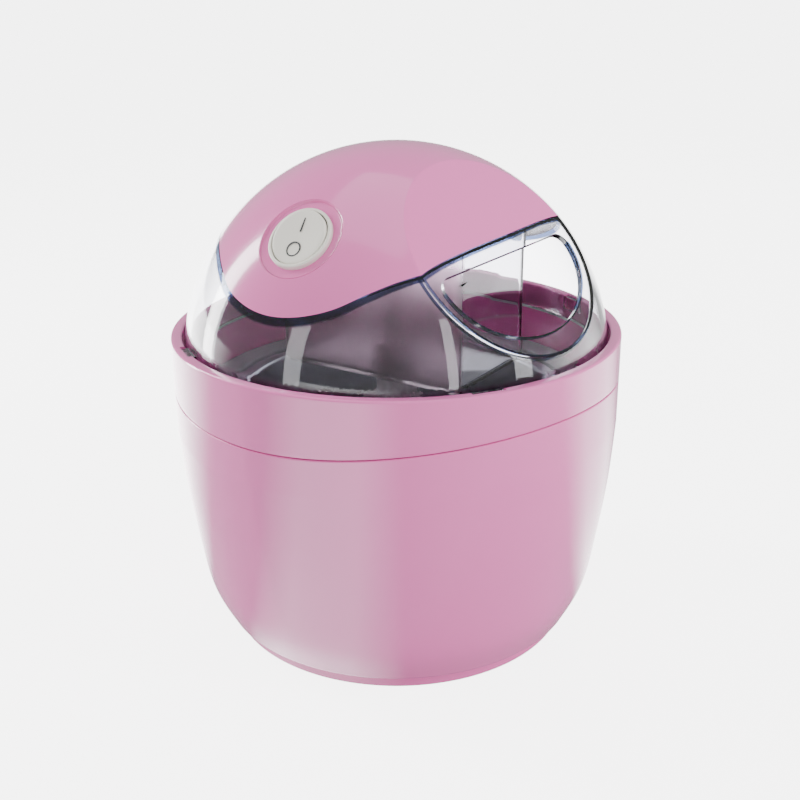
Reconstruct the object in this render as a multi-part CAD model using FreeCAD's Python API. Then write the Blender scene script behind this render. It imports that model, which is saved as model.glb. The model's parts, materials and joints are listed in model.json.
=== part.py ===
import FreeCAD, Part
import math
import os

# Small ice cream maker, in millimetres.  +Z up, the origin at the centre of the base on the
# surface that it stands on.  The switch faces -Y (the front), the filling opening faces +X.

Vec = FreeCAD.Vector

# ---- driving dimensions -------------------------------------------------------------------
body_r = 87.0             # outer radius of the base at its collar
rim_z = 121.5             # height of the collar's top face
wall = 2.5                # wall of the pink mouldings
foot_gap = 0.6            # how far the rubber feet hold the moulding off the table
foot_r = 69.0             # outer radius of the stepped foot
foot_top = 6.8            # height of the step above the foot
floor_z = 2.8             # underside of the base's floor
floor_t = 2.6

seam_drop = 19.7          # mean depth of the collar's wavy seam below the rim
seam_wave = 3.8           # half the height of the wave, two waves to a turn
seam_turn = -8.0          # azimuth of a high point of the wave, degrees
seam_gap = 0.25

collar_lip_r = 82.6       # bore of the collar at its top
lid_seat_z = 111.0        # the ledge that the lid stands on
collar_bore_r = 79.8      # bore below the lid's ledge
bowl_seat_z = 92.0        # the ledge that carries the freezer bowl
bowl_seat_r = 74.5
bowl_seat_t = 3.5
collar_screw_turns = [30, 150, 270]
collar_screw_r = 77.2
pilot_r = 1.25            # bore that the self-tapping screws cut into
screw_r = 1.22
screw_hole_r = 1.7        # clear hole for a screw
screw_head_r = 2.8

dome_r = 82.65            # radius of the lid's sphere
dome_z = 108.45           # height of the sphere's centre
lid_wall = 2.2
skirt_r = 81.6            # the lid's skirt, inside the collar
deck_t = 2.0              # the clear deck under the motor cover
facet_azimuth = -11.5     # direction that the flat facet faces, degrees from +X
facet_tilt = 42.4         # how far it faces upwards, degrees
facet_d = 72.2            # distance of the facet from the sphere's centre

well_x = 40.6             # half width of the clear drive well
well_front = -20.9
well_rear = 30.3
well_bottom = 104.5
well_wall = 2.0

lid_tab_turns = [-122, -35, 58, 145]
lid_tab_width = 11.0
lid_tab_r = 84.2          # radius that the lid's tabs reach
lid_tab_low = rim_z - 6.0
lid_tab_high = rim_z - 0.6

fill_half = 35.2          # the filling opening: half width, depth, corner radius, its turn in
fill_depth = 27.4         # the facet's plane and its shift in that plane
fill_corner = 4.6
fill_turn = 5.1
fill_shift = (0.6, -4.6)

cover_wall = 2.4
part_gap = 0.3            # clearance between parts that come apart
base_t = 2.0              # thickness of the motor base

switch_tilt = 45.0        # the switch faces the front, tilted up by this angle
recess_r = 15.5
recess_floor = 80.2       # distance of the recess's floor from the sphere's centre
bezel_r = 12.0
rocker_r = 10.45
rocker_rest = 7.0         # tilt of the rocker at rest, degrees, with its lower half pressed
pivot_s = 80.9            # distance of the rocker's pivot from the sphere's centre
pivot_r = 0.62
micro_low = 71.4          # the microswitch behind the rocker
micro_high = 77.8
terminal_x = (-7.0, 0.0, 7.0)

hub_r = 8.0               # the paddle's hub, through the floor of the well
hub_top = well_bottom + 9.3
clip_z = well_bottom + well_wall + 0.2
coupling_r = 5.0          # corner radius of the hexagonal drive end
coupling_low = well_bottom - 3.7
coupling_high = well_bottom + 12.3
paddle_half = (47.6, 50.6)    # half width of the paddle's frame at its foot and at its top
paddle_low = 27.5
paddle_high = 80.0
paddle_bar = 7.0

gear_module = 0.5
wheel_teeth = 42
pinion_teeth = 12
rotor_xy = (0.0, 8.0)
idler_xy = (12.9, 4.0)
gear_low = (160.1, 162.6)     # heights of the two gear layers
gear_high = (163.1, 165.6)
mesh_low = math.degrees(math.atan2(idler_xy[1], idler_xy[0]))     # directions of the two meshes
mesh_high = math.degrees(math.atan2(rotor_xy[1] - idler_xy[1], rotor_xy[0] - idler_xy[0]))
half_pitch = 180.0 / pinion_teeth
tub_x = 37.6                  # the tub that holds the gearbox: half width, front and rear
tub_front = -17.9
tub_rear = 27.3
tub_t = 2.0
tub_floor = 156.1             # its underside
gearbox_z = 158.1
plate_z = 166.0
can_z = 167.6
can_top = 180.6
can_r = 25.0
shaft_r = 3.0
journal_r = 1.8
pin_r = 1.0                   # the idler's pin and the rotor's shaft
shaft_clear = 0.05
press_gap = 0.02              # between parts that are pressed together
bush_r = 5.0
cover_screw_xy = [(-30.0, -25.0), (30.0, -25.0), (-30.0, 40.0), (30.0, 40.0)]
motor_screw_xy = [(-29.5, 8.0), (29.5, 8.0)]
boss_r = 3.6

gland_z = 160.5               # axis of the cord gland, through the rear of the motor cover
gland_y = 66.5                # its outer face
cord_r = 2.9                  # bore for the mains cord
gland_r = 4.2                 # the gland's body, and its flange outside and nut inside
gland_flange_r = 5.6
gland_nut_r = 5.2
nozzle_r = 6.4                # the short tube on the cover that holds the gland
block_low = 163.2             # the terminal block
block_high = 168.0

liner_r = 60.0                # inside radius of the freezer bowl at its rim
liner_rim = 95.4
liner_t = 1.2
liner_floor = 20.0
liner_foot_r = 56.0
liner_corner = 14.0
bead_r = 1.6              # rolled edge of the liner
seal_r = (64.6, 67.0)     # inner and outer radius of the seal under the liner's flange
shell_r = 71.0            # outer radius of the bowl's plastic shell at the top and at the foot
shell_foot_r = 66.0
shell_floor = 12.0
shell_t = 2.2
flange_z = bowl_seat_z + 1.1      # underside of the freezer bowl's flange
flange_r = 79.2
seal_low = flange_z - 1.2
fill_plug_r = 6.0
fill_plug_x = 30.0

# Side view of the line between the motor cover and the clear lid, as (y, z above the rim),
# both as fractions of body_r.  It runs the same all the way across the object.
parting_points = [
    (-1.0, 0.110), (-0.92, 0.190), (-0.865, 0.242), (-0.80, 0.292), (-0.72, 0.350),
    (-0.62, 0.397), (-0.50, 0.424), (-0.30, 0.446), (-0.05, 0.465), (0.29, 0.487),
    (0.45, 0.465), (0.60, 0.395), (0.75, 0.310), (0.88, 0.225), (1.0, 0.140),
]


# ---- helpers ------------------------------------------------------------------------------
def spin(face):
    """Turns a face in the XZ plane about the Z axis."""
    return face.revolve(Vec(0, 0, 0), Vec(0, 0, 1), 360)


def lathe(points):
    """A turned solid whose section is the polygon of (radius, height) points."""
    corners = [Vec(r, 0, z) for r, z in points]
    return spin(Part.Face(Part.makePolygon(corners + corners[:1])))


def smooth_lathe(curve, closing):
    """A turned solid: a smooth outline through curve, closed by straight lines through closing."""
    points = [Vec(r, 0, z) for r, z in curve]
    spline = Part.BSplineCurve()
    spline.interpolate(points)
    corners = [points[-1]] + [Vec(r, 0, z) for r, z in closing] + [points[0]]
    edges = [spline.toShape()]
    edges += [Part.makeLine(a, b) for a, b in zip(corners, corners[1:])]
    return spin(Part.Face(Part.Wire(edges)))


def tube(outer, inner, low, high, x=0.0, y=0.0):
    ring = Part.makeCylinder(outer, high - low, Vec(x, y, low))
    return ring.cut(Part.makeCylinder(inner, high - low, Vec(x, y, low)))


def disc(radius, low, high, x=0.0, y=0.0):
    return Part.makeCylinder(radius, high - low, Vec(x, y, low))


def block(x0, x1, y0, y1, z0, z1):
    return Part.makeBox(x1 - x0, y1 - y0, z1 - z0, Vec(x0, y0, z0))


def rounded_block(x0, x1, y0, y1, z0, z1, radius):
    solid = block(x0, x1, y0, y1, z0, z1)
    upright = [e for e in solid.Edges if abs(e.tangentAt(e.FirstParameter).z) > 0.9]
    return solid.makeFillet(radius, upright)


def fused(shapes):
    whole = shapes[0]
    for shape in shapes[1:]:
        whole = whole.fuse(shape)
    return whole


def join(shapes):
    """Fuses shapes and merges the faces that lie on one surface."""
    return fused(shapes).removeSplitter()


def polar(radius, degrees):
    return radius * math.cos(math.radians(degrees)), radius * math.sin(math.radians(degrees))


def placed(shape, origin, x_dir, y_dir, z_dir):
    """Moves a shape drawn in its own axes to an origin and axes of the object."""
    moved = shape.copy()
    turn = FreeCAD.Rotation(x_dir, y_dir, z_dir, "ZXY")
    moved.Placement = FreeCAD.Placement(origin, turn).multiply(moved.Placement)
    return moved


def on_facet(shape):
    """Local X along the facet, Y up its slope, Z out of it, from the sphere's centre."""
    a = math.radians(facet_azimuth)
    e = math.radians(facet_tilt)
    along = Vec(-math.sin(a), math.cos(a), 0)
    up = Vec(-math.sin(e) * math.cos(a), -math.sin(e) * math.sin(a), math.cos(e))
    out = Vec(math.cos(e) * math.cos(a), math.cos(e) * math.sin(a), math.sin(e))
    return placed(shape, Vec(0, 0, dome_z), along, up, out)


def on_switch(shape):
    """Local X across the switch, Y up its slope, Z out of it, from the sphere's centre."""
    e = math.radians(switch_tilt)
    up = Vec(0, math.sin(e), math.cos(e))
    out = Vec(0, -math.cos(e), math.sin(e))
    return placed(shape, Vec(0, 0, dome_z), Vec(1, 0, 0), up, out)


def along_y(radius, y0, y1, z):
    return Part.makeCylinder(radius, y1 - y0, Vec(0, y0, z), Vec(0, 1, 0))


def parting_z(y):
    """Height of the parting surface over a point y, by linear steps between its points."""
    t = y / body_r
    for (y0, z0), (y1, z1) in zip(parting_points, parting_points[1:]):
        if y0 <= t <= y1:
            return rim_z + body_r * (z0 + (z1 - z0) * (t - y0) / (y1 - y0))
    return rim_z


def under_parting(lift=0.0):
    """Everything below the parting surface, with the surface raised by lift."""
    points = [Vec(0, y * body_r, rim_z + z * body_r + lift) for y, z in parting_points]
    spline = Part.BSplineCurve()
    spline.interpolate(points)
    corners = [points[-1], Vec(0, points[-1].y, 0), Vec(0, points[0].y, 0), points[0]]
    edges = [spline.toShape()]
    edges += [Part.makeLine(a, b) for a, b in zip(corners, corners[1:])]
    face = Part.Face(Part.Wire(edges))
    face.translate(Vec(-100, 0, 0))
    return face.extrude(Vec(200, 0, 0))


def under_seam(lift=0.0):
    """Everything below the collar's wavy seam: a saddle whose edge rises and falls twice."""
    half = 95.0
    rise = 2 * seam_wave * (half / body_r) ** 2
    mean = rim_z - seam_drop + lift

    def corner(p, q):
        x, y = (p + q) * half / math.sqrt(2), (p - q) * half / math.sqrt(2)
        turn = math.radians(seam_turn)
        across = Vec(x * math.cos(turn) - y * math.sin(turn), x * math.sin(turn) + y * math.cos(turn))
        return across + Vec(0, 0, mean + p * q * rise)

    first = Part.makeLine(corner(-1, -1), corner(1, -1))
    second = Part.makeLine(corner(-1, 1), corner(1, 1))
    return Part.makeRuledSurface(first, second).extrude(Vec(0, 0, -70))


def ball(radius):
    return Part.makeSphere(radius, Vec(0, 0, dome_z))


def beyond_facet(inset=0.0):
    """Everything outside the flat facet, with the facet moved inwards by inset."""
    return on_facet(Part.makeBox(200, 200, 60, Vec(-100, -100, facet_d - inset)))


# ---- base ---------------------------------------------------------------------------------
def make_outer_bowl():
    outline = [(body_r, 86.0), (85.2, 62.0), (81.9, 38.0), (78.6, 20.0), (72.6, foot_top)]
    inside = [(body_r - wall, 86.0), (82.7, 62.0), (79.4, 38.0), (75.9, 20.0), (71.0, 9.4)]
    outer = smooth_lathe(outline, [(0, foot_top), (0, 86.0)])
    hollow = smooth_lathe(inside, [(66.0, floor_z + floor_t), (0, floor_z + floor_t), (0, 86.0)])
    upper = tube(body_r, body_r - wall, 86.0, 110.0).common(under_seam())
    foot = lathe([(foot_r - 3.0, foot_gap), (foot_r - 0.6, foot_gap), (foot_r, 1.2), (foot_r, foot_top),
                  (foot_r - 3.0, foot_top)])
    plate = disc(foot_r - 3.0, floor_z, foot_top)
    shell = join([outer, foot, plate]).cut(hollow)
    bosses = []
    for turn in collar_screw_turns:
        x, y = polar(collar_screw_r, turn)
        boss = disc(3.5, 74.0, bowl_seat_z - bowl_seat_t, x, y)
        rib = block(0, body_r - wall + 0.8 - collar_screw_r, -1.2, 1.2, 74.0, 84.0)
        rib.rotate(Vec(0, 0, 0), Vec(0, 0, 1), turn)
        rib.translate(Vec(x, y, 0))
        bosses.append(boss.fuse(rib))
    whole = join([shell, upper] + bosses)
    for turn in collar_screw_turns:
        x, y = polar(collar_screw_r, turn)
        whole = whole.cut(disc(pilot_r, 76.0, 95.0, x, y))
    return whole


def make_collar_ring():
    inner = lathe([(body_r - wall - 0.2, bowl_seat_z - bowl_seat_t), (body_r - wall - 0.2, rim_z - 2),
                   (collar_lip_r, rim_z - 2), (collar_lip_r, lid_seat_z), (collar_bore_r, lid_seat_z),
                   (collar_bore_r, bowl_seat_z), (bowl_seat_r, bowl_seat_z),
                   (bowl_seat_r, bowl_seat_z - bowl_seat_t)])
    skin = tube(body_r, collar_lip_r, 90.0, rim_z).cut(under_seam(seam_gap))
    ring = join([skin, inner])
    edge = [e for e in ring.Edges if abs(e.BoundBox.ZMin - rim_z) < 0.01 and e.BoundBox.ZLength < 0.01]
    ring = ring.makeFillet(0.8, edge)
    for turn in lid_tab_turns:
        ring = ring.cut(tab(turn, lid_tab_r + 0.4, lid_tab_width + 1.2, lid_tab_low - 0.4, rim_z + 2))
    for turn in collar_screw_turns:
        x, y = polar(collar_screw_r, turn)
        ring = ring.cut(disc(screw_hole_r, 80.0, 93.0, x, y))
        ring = ring.cut(disc(screw_head_r + 0.3, bowl_seat_z - 2.0, 93.0, x, y))
    return ring


def tab(turn, outer, width, low, high):
    piece = block(skirt_r - 1.0, outer, -width / 2, width / 2, low, high)
    piece.rotate(Vec(0, 0, 0), Vec(0, 0, 1), turn)
    return piece


def make_rubber_feet():
    feet = []
    for turn in (45, 135, 225, 315):
        x, y = polar(54.0, turn)
        foot = disc(8.0, 0.0, floor_z, x, y)
        feet.append(foot.makeFillet(0.6, [e for e in foot.Edges if e.BoundBox.ZMax < 0.01]))
    return Part.makeCompound(feet)


def make_screw(x, y, head_low, head_t, length):
    """A self-tapping screw that points down from its head."""
    head_top = head_low + head_t
    head = disc(screw_head_r, head_low, head_top, x, y)
    drive = block(x - 1.7, x + 1.7, y - 0.4, y + 0.4, head_top - 0.5, head_top + 1)
    return head.fuse(disc(screw_r, head_low - length, head_low, x, y)).cut(drive)


def make_collar_screws():
    screws = []
    for turn in collar_screw_turns:
        x, y = polar(collar_screw_r, turn)
        screws.append(make_screw(x, y, bowl_seat_z - 2.0, 1.6, 10.0))
    return Part.makeCompound(screws)


def make_seat_pads():
    pads = []
    for turn in (90, 210, 330):
        piece = tube(collar_bore_r - 0.6, bowl_seat_r + 0.6, bowl_seat_z, bowl_seat_z + 1.0)
        wedge = block(0, 100, -6, 6, 80, 110)
        wedge.rotate(Vec(0, 0, 0), Vec(0, 0, 1), turn)
        pads.append(piece.common(wedge))
    return Part.makeCompound(pads)


# ---- freezer bowl -------------------------------------------------------------------------
def make_bowl_liner():
    top = liner_rim - bead_r

    def cup(offset):
        r0, r1, z0 = liner_foot_r + offset, liner_r + offset, liner_floor - offset
        k = liner_corner + offset
        bend = Part.Arc(Vec(r0 - k, 0, z0), Vec(r0 - k + k * math.sin(math.pi / 4), 0,
                                                z0 + k - k * math.cos(math.pi / 4)), Vec(r0, 0, z0 + k))
        edges = [Part.makeLine(Vec(0, 0, z0), Vec(r0 - k, 0, z0)), bend.toShape(),
                 Part.makeLine(Vec(r0, 0, z0 + k), Vec(r1, 0, top)),
                 Part.makeLine(Vec(r1, 0, top), Vec(0, 0, top)),
                 Part.makeLine(Vec(0, 0, top), Vec(0, 0, z0))]
        return spin(Part.Face(Part.Wire(edges)))

    wall_part = cup(liner_t).cut(cup(0.0))
    bead = Part.makeTorus(liner_r + bead_r, bead_r, Vec(0, 0, top))
    flange = tube(68.0, liner_r + bead_r, liner_rim - 2.0, liner_rim - 0.8)
    return join([wall_part, bead, flange])


def make_freezer_shell():
    corner = 10.0
    low_r = shell_foot_r
    outer = lathe([(0, shell_floor), (low_r - corner, shell_floor), (low_r - 3, shell_floor + 3),
                   (low_r, shell_floor + corner), (shell_r, flange_z), (0, flange_z)])
    hollow = lathe([(0, shell_floor + shell_t), (low_r - corner - 1, shell_floor + shell_t),
                    (low_r - 5, shell_floor + 2 * shell_t), (low_r - shell_t, shell_floor + corner + 1),
                    (shell_r - shell_t, flange_z - 3.0), (0, flange_z - 3.0)])
    top = lathe([(68.4, flange_z - 3.0), (70.4, flange_z - 3.0), (70.8, flange_z),
                 (flange_r, flange_z), (flange_r, flange_z + 2.0), (flange_r - 0.6, flange_z + 2.6),
                 (68.4, flange_z + 2.6)])
    neck = disc(64.4, flange_z - 3.0, flange_z)
    shell = join([outer.cut(hollow).cut(neck), top])
    shell = shell.cut(tube(seal_r[1], seal_r[0], seal_low, 100.0))
    return shell.cut(disc(fill_plug_r, 5.0, 18.0, fill_plug_x, 0.0))


def make_fill_plug():
    plug = disc(fill_plug_r - 0.02, shell_floor, shell_floor + shell_t, fill_plug_x, 0.0)
    lip = disc(fill_plug_r + 1.5, shell_floor - 1.0, shell_floor, fill_plug_x, 0.0)
    return plug.fuse(lip)


def make_rim_seal():
    return tube(seal_r[1], seal_r[0], seal_low, liner_rim - 2.0)


def make_coolant():
    outer = lathe([(0, shell_floor + 2.6), (54.6, shell_floor + 2.6), (60.6, shell_floor + 4.8),
                   (63.4, shell_floor + 11.2), (67.6, 84.0), (0, 84.0)])
    under = liner_floor - liner_t - 0.6
    hollow = lathe([(0, under), (43.0, under), (52.0, under + 1.4), (57.9, 26.0), (57.9, 36.0),
                    (61.8, 90.0), (0, 90.0)])
    return outer.cut(hollow)


# ---- lid ----------------------------------------------------------------------------------
def fill_outline():
    """The D-shaped filling opening in the facet's plane, a half ellipse under a straight edge."""
    half = fill_half
    top = 0.5
    arc = Part.Arc(Part.Ellipse(Vec(0, 0, 0), half, fill_depth), math.pi, 2 * math.pi).toShape()
    sides = [Part.makeLine(Vec(half, 0, 0), Vec(half, top, 0)),
             Part.makeLine(Vec(half, top, 0), Vec(-half, top, 0)),
             Part.makeLine(Vec(-half, top, 0), Vec(-half, 0, 0))]
    prism = Part.Face(Part.Wire([arc] + sides)).extrude(Vec(0, 0, 30))
    upright = [e for e in prism.Edges if e.BoundBox.ZLength > 29 and e.BoundBox.YMin > 0.1]
    prism = prism.makeFillet(fill_corner, upright)
    prism.rotate(Vec(0, 0, 0), Vec(0, 0, 1), fill_turn)
    prism.translate(Vec(*fill_shift, facet_d - 15))
    return prism


def make_lid():
    bell = ball(dome_r).common(disc(100, rim_z, 200))
    bell = bell.fuse(disc(skirt_r, lid_seat_z + 1.2, rim_z)).removeSplitter()
    hollow = ball(dome_r - lid_wall).common(disc(100, rim_z, 200))
    hollow = hollow.fuse(disc(skirt_r - lid_wall, 90, rim_z)).removeSplitter()
    hollow = hollow.cut(beyond_facet(lid_wall))
    bell = bell.cut(beyond_facet())
    shell = bell.cut(hollow)
    deck = bell.cut(under_parting(-deck_t))
    well = block(-well_x, well_x, well_front, well_rear, well_bottom, 180)
    room = block(-well_x + well_wall, well_x - well_wall, well_front + well_wall, well_rear - well_wall,
                 well_bottom + well_wall, 190)
    below = under_parting()
    tabs = [tab(turn, lid_tab_r, lid_tab_width, lid_tab_low, lid_tab_high) for turn in lid_tab_turns]
    keep_out = disc(skirt_r - 0.8, 100, 130)
    tabs = [piece.cut(keep_out) for piece in tabs]
    solid = fused([shell, deck, well.common(bell.fuse(disc(60, 90, 130)))]).common(below)
    solid = fused([solid] + tabs)
    solid = solid.cut(room)
    solid = solid.cut(disc(hub_r + 0.6, 90, 115))
    return solid.cut(on_facet(fill_outline()))


def make_lid_seal():
    lip = lathe([(skirt_r - 2.2, lid_seat_z + 0.05), (skirt_r - 0.2, lid_seat_z + 0.05),
                 (skirt_r, lid_seat_z + 0.4), (skirt_r, lid_seat_z + 1.2), (skirt_r - 2.2, lid_seat_z + 1.2)])
    return lip


# ---- paddle -------------------------------------------------------------------------------
def hexagon(radius, low, high):
    corners = [Vec(*polar(radius, 60 * i), low) for i in range(7)]
    return Part.Face(Part.makePolygon(corners)).extrude(Vec(0, 0, high - low))


def plate_y(points, half):
    """A flat plate in the XZ plane: the outline of (x, z) points, half thick to each side."""
    corners = [Vec(x, -half, z) for x, z in points]
    return Part.Face(Part.makePolygon(corners + corners[:1])).extrude(Vec(0, 2 * half, 0))


def rounded_plate_y(points, half, radius):
    plate = plate_y(points, half)
    return plate.makeFillet(radius, [e for e in plate.Edges if e.BoundBox.YLength > half])


def make_paddle():
    seat = well_bottom - 0.5
    hub = lathe([(0, seat - 18.0), (6.0, seat - 18.0), (hub_r, seat - 12.0), (hub_r, seat - 2.7),
                 (hub_r + 4, seat - 1.2), (hub_r + 4, seat), (hub_r, seat), (hub_r, clip_z),
                 (hub_r - 1.0, clip_z), (hub_r - 1.0, clip_z + 1.2), (hub_r, clip_z + 1.2),
                 (hub_r, hub_top - 0.6), (hub_r - 0.6, hub_top), (0, hub_top)])
    stem = Part.makeCone(5.5, 4.0, hub_top - paddle_low - 25, Vec(0, 0, paddle_low))
    low, high, bar = paddle_low, paddle_high, paddle_bar
    half_low, half_high = paddle_half
    frame = rounded_plate_y([(-half_low, low), (half_low, low), (half_high, high), (-half_high, high)],
                            2.0, 11.0)
    window = rounded_plate_y([(bar - half_low, low + bar), (half_low - bar, low + bar),
                              (half_high - bar, high - bar), (bar - half_high, high - bar)], 3.0, 7.0)
    brace = plate_y([(2 - half_low, low + 9), (8 - half_low, low + 7), (half_high - 2, high - 9),
                     (half_high - 8, high - 6.5)], 1.6)
    yoke = plate_y([(-32.0, high - 4), (32.0, high - 4), (7.0, seat - 10), (-7.0, seat - 10)], 2.0)
    paddle = join([frame.cut(window), brace, yoke, stem, hub])
    return paddle.cut(hexagon(coupling_r + 0.35, coupling_low - 1.0, 130.0))


def make_paddle_clip():
    ring = tube(hub_r + 2.2, hub_r - 0.96, clip_z + 0.1, clip_z + 1.1)
    mouth = block(0, 20, -3.0, 3.0, clip_z - 5, clip_z + 5)
    return ring.cut(mouth)


# ---- motor unit ---------------------------------------------------------------------------
def make_motor_cover():
    above = ball(dome_r).cut(beyond_facet()).cut(under_parting(part_gap))
    inside = ball(dome_r - cover_wall).cut(beyond_facet(cover_wall))
    pad = on_switch(disc(recess_r + 2.5, recess_floor - 2.4, dome_r)).common(ball(dome_r))
    nozzle = along_y(nozzle_r, 56.0, gland_y, gland_z)
    bosses = []
    for x, y in cover_screw_xy:
        low = parting_z(y) + 7.0
        bosses.append(disc(boss_r, low, 200, x, y).common(ball(dome_r)).cut(beyond_facet()))
    cover = fused([above.cut(inside), pad, nozzle] + bosses)
    cover = cover.cut(under_parting(part_gap))
    cover = cover.cut(along_y(nozzle_r + 1.6, gland_y, 90.0, gland_z))
    cover = cover.cut(along_y(gland_r, 40.0, 90.0, gland_z))
    cover = cover.cut(on_switch(disc(recess_r, recess_floor, 90)))
    cover = cover.cut(on_switch(disc(bezel_r - 0.4, 70, 90)))
    cover = cover.cut(along_y(gland_nut_r + 0.2, 50.0, 58.6, gland_z))
    for x, y in cover_screw_xy:
        pilot = disc(pilot_r, parting_z(y), parting_z(y) + 15.0, x, y)
        cover = cover.cut(pilot.common(ball(dome_r - 1.4)))
    return cover


def make_motor_base():
    room = ball(dome_r - cover_wall - part_gap).cut(beyond_facet(cover_wall + part_gap))
    plate = room.cut(under_parting(part_gap)).common(under_parting(part_gap + base_t))
    tub = rounded_block(-tub_x, tub_x, tub_front, tub_rear, tub_floor, 175, 3.0)
    tub_room = rounded_block(-tub_x + tub_t, tub_x - tub_t, tub_front + tub_t, tub_rear - tub_t,
                             tub_floor + tub_t, 190, 2.0)
    tub = tub.common(under_parting(part_gap + base_t))
    posts = [disc(3.2, tub_floor + 1, can_z, x, y) for x, y in motor_screw_xy]
    feet = []
    for x, y in cover_screw_xy:
        foot = disc(5.2, 130, parting_z(y) + 6.6, x, y)
        feet.append(foot.cut(under_parting(part_gap)))
    stand = block(-5.0, 5.0, 45.0, 50.0, 150, block_low).cut(under_parting(part_gap))
    base = fused([plate, tub]).cut(tub_room)
    base = fused([base, stand] + posts + feet).common(join([room, tub, ball(60)]))
    for x, y in cover_screw_xy:
        base = base.cut(disc(screw_hole_r, 130, 190, x, y))
        base = base.cut(disc(3.3, 130, parting_z(y) + 3.4, x, y))
    for x, y in motor_screw_xy:
        base = base.cut(disc(pilot_r, can_z - 8.0, 190, x, y))
    switch_pad = on_switch(disc(recess_r + 2.7, recess_floor - 2.6, 90))
    nozzle = along_y(nozzle_r + 0.2, 56.0, 70.0, gland_z)
    motor_plate = disc(can_r, plate_z - 0.2, 190, *rotor_xy)
    for tool in (switch_pad, nozzle, motor_plate, disc(6.0, 150, 160)):
        base = base.cut(tool)
    return base


def make_cover_screws():
    screws = []
    for x, y in cover_screw_xy:
        seat = parting_z(y) + 3.4
        screw = disc(screw_head_r, seat - 1.7, seat, x, y).fuse(disc(screw_r, seat, seat + 6.0, x, y))
        slot = block(x - 1.7, x + 1.7, y - 0.4, y + 0.4, seat - 3, seat - 1.2)
        screws.append(screw.cut(slot))
    return Part.makeCompound(screws)


def make_motor_screws():
    screws = [make_screw(x, y, can_z + 1.0, 1.8, 8.0) for x, y in motor_screw_xy]
    return Part.makeCompound(screws)


def make_motor_can():
    x, y = rotor_xy
    cup = tube(can_r, can_r - 1.0, can_z, can_top, x, y)
    top = disc(can_r, can_top - 1.0, can_top, x, y)
    ears = block(-33.0, 33.0, y - 4.0, y + 4.0, can_z, can_z + 1.0)
    ears = ears.cut(disc(can_r - 0.5, 160, 190, x, y))
    can = join([cup, top, ears])
    can = can.cut(disc(pin_r + shaft_clear, can_top - 5, can_top + 5, x, y))
    for sx, sy in motor_screw_xy:
        can = can.cut(disc(1.6, can_z - 2, can_z + 5, sx, sy))
    return can


def make_motor_coil():
    x, y = rotor_xy
    low, high = can_z + 1.2, can_top - 1.4
    bobbin = [tube(23.0, 12.6, low, low + 1.2, x, y), tube(23.0, 12.6, high - 1.2, high, x, y),
              tube(13.8, 12.6, low, high, x, y)]
    winding = tube(22.2, 13.8, low + 1.2, high - 1.2, x, y)
    return join(bobbin + [winding])


def gear(teeth, low, high, x, y, phase):
    """A spur gear with involute flanks; phase is the direction of one tooth, in degrees."""
    pitch_r = gear_module * teeth / 2
    base_r = pitch_r * math.cos(math.radians(20))
    root_r = pitch_r - 1.25 * gear_module
    tip_r = pitch_r + 0.85 * gear_module
    backlash = 0.12

    def half_angle(radius):
        pressure = math.acos(min(1.0, base_r / max(radius, base_r)))
        flank = math.tan(pressure) - pressure
        at_pitch = math.tan(math.radians(20)) - math.radians(20)
        return math.pi / (2 * teeth) - backlash / (2 * pitch_r) + at_pitch - flank

    steps = [root_r + (tip_r - root_r) * i / 4 for i in range(5)]
    corners = []
    for tooth in range(teeth):
        middle = math.radians(phase) + 2 * math.pi * tooth / teeth
        sides = [(r, middle - half_angle(r)) for r in steps]
        sides += [(r, middle + half_angle(r)) for r in reversed(steps)]
        corners += [Vec(x + r * math.cos(a), y + r * math.sin(a), low) for r, a in sides]
    outline = Part.makePolygon(corners + corners[:1])
    return Part.Face(outline).extrude(Vec(0, 0, high - low))


def make_rotor():
    x, y = rotor_xy
    magnet = tube(11.8, pin_r, can_z + 1.6, can_top - 2.0, x, y)
    shaft = disc(pin_r, gear_high[0], can_top - 0.3, x, y)
    pinion = gear(pinion_teeth, gear_high[0], gear_high[1], x, y, mesh_high + 180 + half_pitch)
    return join([pinion, shaft, magnet])


def make_idler_gear():
    x, y = idler_xy
    wheel = gear(wheel_teeth, gear_high[0], gear_high[1], x, y, mesh_high)
    pinion = gear(pinion_teeth, gear_low[0], gear_high[0], x, y, mesh_low + 180 + half_pitch)
    return join([wheel, pinion]).cut(disc(pin_r + shaft_clear, 150, 170, x, y))


def make_idler_pin():
    x, y = idler_xy
    return disc(pin_r, gearbox_z + 0.7, plate_z, x, y)


def make_output_gear():
    wheel = gear(wheel_teeth, gear_low[0], gear_low[1], 0, 0, mesh_low)
    return wheel.cut(disc(shaft_r + press_gap, 150, 170))


def make_drive_shaft():
    journal = disc(journal_r, gear_low[1], plate_z + 1.4)
    return disc(shaft_r, coupling_low + 5, gear_low[1]).fuse(journal).removeSplitter()


def make_drive_coupling():
    solid = hexagon(coupling_r, coupling_low, coupling_high)
    return solid.cut(disc(shaft_r + press_gap, coupling_low + 5, 130.0))


def make_shaft_bush():
    sleeve = tube(bush_r, shaft_r + shaft_clear, tub_floor - 1.0, gearbox_z + 1.5)
    collar = tube(bush_r + 2, shaft_r + shaft_clear, tub_floor - 1.0, tub_floor)
    return sleeve.fuse(collar).removeSplitter()


def make_gearbox_housing():
    case = rounded_block(-13.6, 25.9, -13.6, 17.6, gearbox_z, plate_z, 6.0)
    room = rounded_block(-12.2, 24.6, -12.2, 16.2, gearbox_z + 1.5, plate_z + 5, 4.8)
    case = case.cut(room).cut(disc(bush_r + press_gap, 150, 170))
    x, y = idler_xy
    boss = disc(2.6, gearbox_z + 1.0, gear_low[0] - 0.2, x, y)
    return join([case, boss]).cut(disc(pin_r, gearbox_z + 0.7, 170, x, y))


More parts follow.
